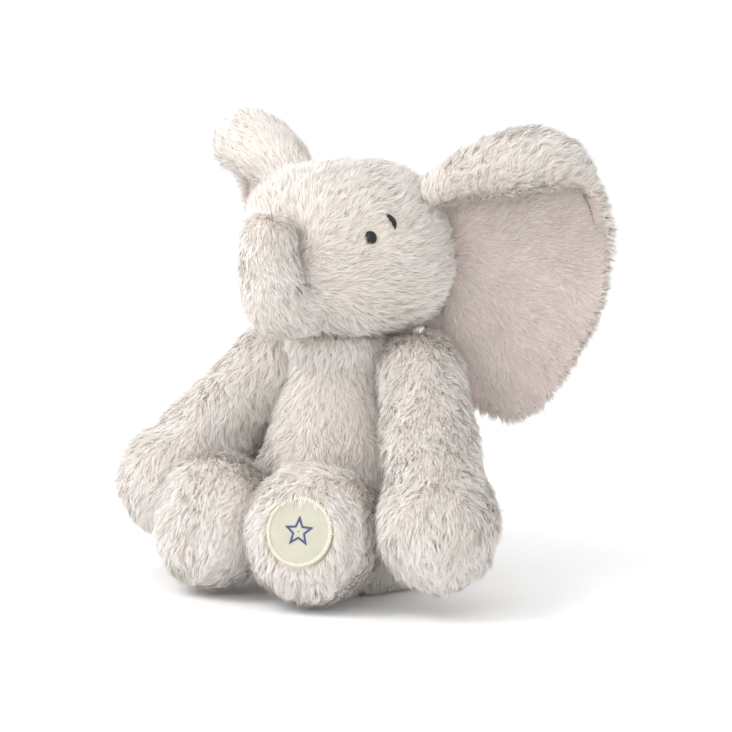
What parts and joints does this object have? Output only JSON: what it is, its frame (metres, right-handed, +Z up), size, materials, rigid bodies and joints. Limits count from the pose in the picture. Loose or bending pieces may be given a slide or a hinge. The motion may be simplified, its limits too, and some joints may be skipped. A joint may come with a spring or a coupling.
{
  "type": "stuffed elephant",
  "caption": "Seated plush elephant with large fan ears, a short curled trunk, floppy arms, big round feet and a round faux-leather patch on one sole.",
  "frame": {"origin": "middle of the flat seat the toy sits on", "axes": "+Z up, -Y the way the toy faces, +X the toy's own left"},
  "size_m": [0.225, 0.1597, 0.2211],
  "materials": {
    "plush": "long-pile plush",
    "ear_plush": "short-pile plush",
    "filling": "loose polyester fibre",
    "foam": "thin foam sheet",
    "lining_cloth": "plain woven cotton",
    "pellets": "loose pellets",
    "black_thread": "satin stitch",
    "patch_leather": "smooth faux leather",
    "cream_thread": "zigzag stitch",
    "navy_thread": "embroidery"
  },
  "bodies": {
    "torso": {"torso_shell": "plush", "torso_filling": "filling", "pellet_pouch": "lining_cloth", "pellet_mass": "pellets"},
    "neck": {"neck_sleeve": "lining_cloth"},
    "head": {"head_shell": "plush", "head_filling": "filling", "eye_left": "black_thread", "eye_right": "black_thread", "brow_left": "black_thread", "brow_right": "black_thread"},
    "trunk": {"trunk_shell": "plush", "trunk_filling": "filling"},
    "tail": {"tail": "plush"},
    "ear_left": {"ear_left_front": "ear_plush", "ear_left_lining": "foam", "ear_left_back": "plush"},
    "arm_left": {"arm_left_shell": "plush", "arm_left_filling": "filling"},
    "leg_left": {"leg_left_shell": "plush", "leg_left_filling": "filling", "sole_left": "plush", "foot_patch": "patch_leather", "patch_stitching": "cream_thread", "patch_star": "navy_thread"},
    "ear_right": {"ear_right_front": "ear_plush", "ear_right_lining": "foam", "ear_right_back": "plush"},
    "arm_right": {"arm_right_shell": "plush", "arm_right_filling": "filling"},
    "leg_right": {"leg_right_shell": "plush", "leg_right_filling": "filling", "sole_right": "plush"}
  },
  "joints": [
    {"name": "neck_turn", "type": "hinge", "parent": "torso", "child": "neck", "pos_m": [0, 0.001, 0.114], "axis": [0, 0, 1], "range_deg": [-10, 10], "stiffness_Nm_per_rad": 0.3},
    {"name": "head_nod", "type": "hinge", "parent": "neck", "child": "head", "pos_m": [0, 0.002, 0.116], "axis": [1, 0, 0], "range_deg": [-10, 12], "stiffness_Nm_per_rad": 0.6},
    {"name": "trunk_bend", "type": "hinge", "parent": "head", "child": "trunk", "pos_m": [0, -0.057, 0.141], "axis": [1, 0, 0], "range_deg": [-1, 30], "stiffness_Nm_per_rad": 0.02},
    {"name": "tail_swing", "type": "hinge", "parent": "torso", "child": "tail", "pos_m": [0, 0.0485, 0.036], "axis": [1, 0, 0], "range_deg": [-5, 50], "stiffness_Nm_per_rad": 0.004},
    {"name": "ear_left_flap", "type": "hinge", "parent": "head", "child": "ear_left", "pos_m": [0.04821, 0.02967, 0.163], "axis": [0, 0, 1], "range_deg": [-4, 20], "stiffness_Nm_per_rad": 0.03},
    {"name": "arm_left_swing", "type": "hinge", "parent": "torso", "child": "arm_left", "pos_m": [0.0375, 0.004, 0.107], "axis": [-1, 0, 0], "range_deg": [-4, 70], "stiffness_Nm_per_rad": 0.08},
    {"name": "leg_left_lift", "type": "hinge", "parent": "torso", "child": "leg_left", "pos_m": [0.024, -0.04, 0.031], "axis": [-1, 0, 0], "range_deg": [0, 12], "stiffness_Nm_per_rad": 0.2},
    {"name": "ear_right_flap", "type": "hinge", "parent": "head", "child": "ear_right", "pos_m": [-0.04821, 0.02967, 0.163], "axis": [0, 0, -1], "range_deg": [-4, 20], "stiffness_Nm_per_rad": 0.03},
    {"name": "arm_right_swing", "type": "hinge", "parent": "torso", "child": "arm_right", "pos_m": [-0.0375, 0.004, 0.107], "axis": [-1, 0, 0], "range_deg": [-4, 70], "stiffness_Nm_per_rad": 0.08},
    {"name": "leg_right_lift", "type": "hinge", "parent": "torso", "child": "leg_right", "pos_m": [-0.024, -0.04, 0.031], "axis": [-1, 0, 0], "range_deg": [0, 12], "stiffness_Nm_per_rad": 0.2}
  ]
}
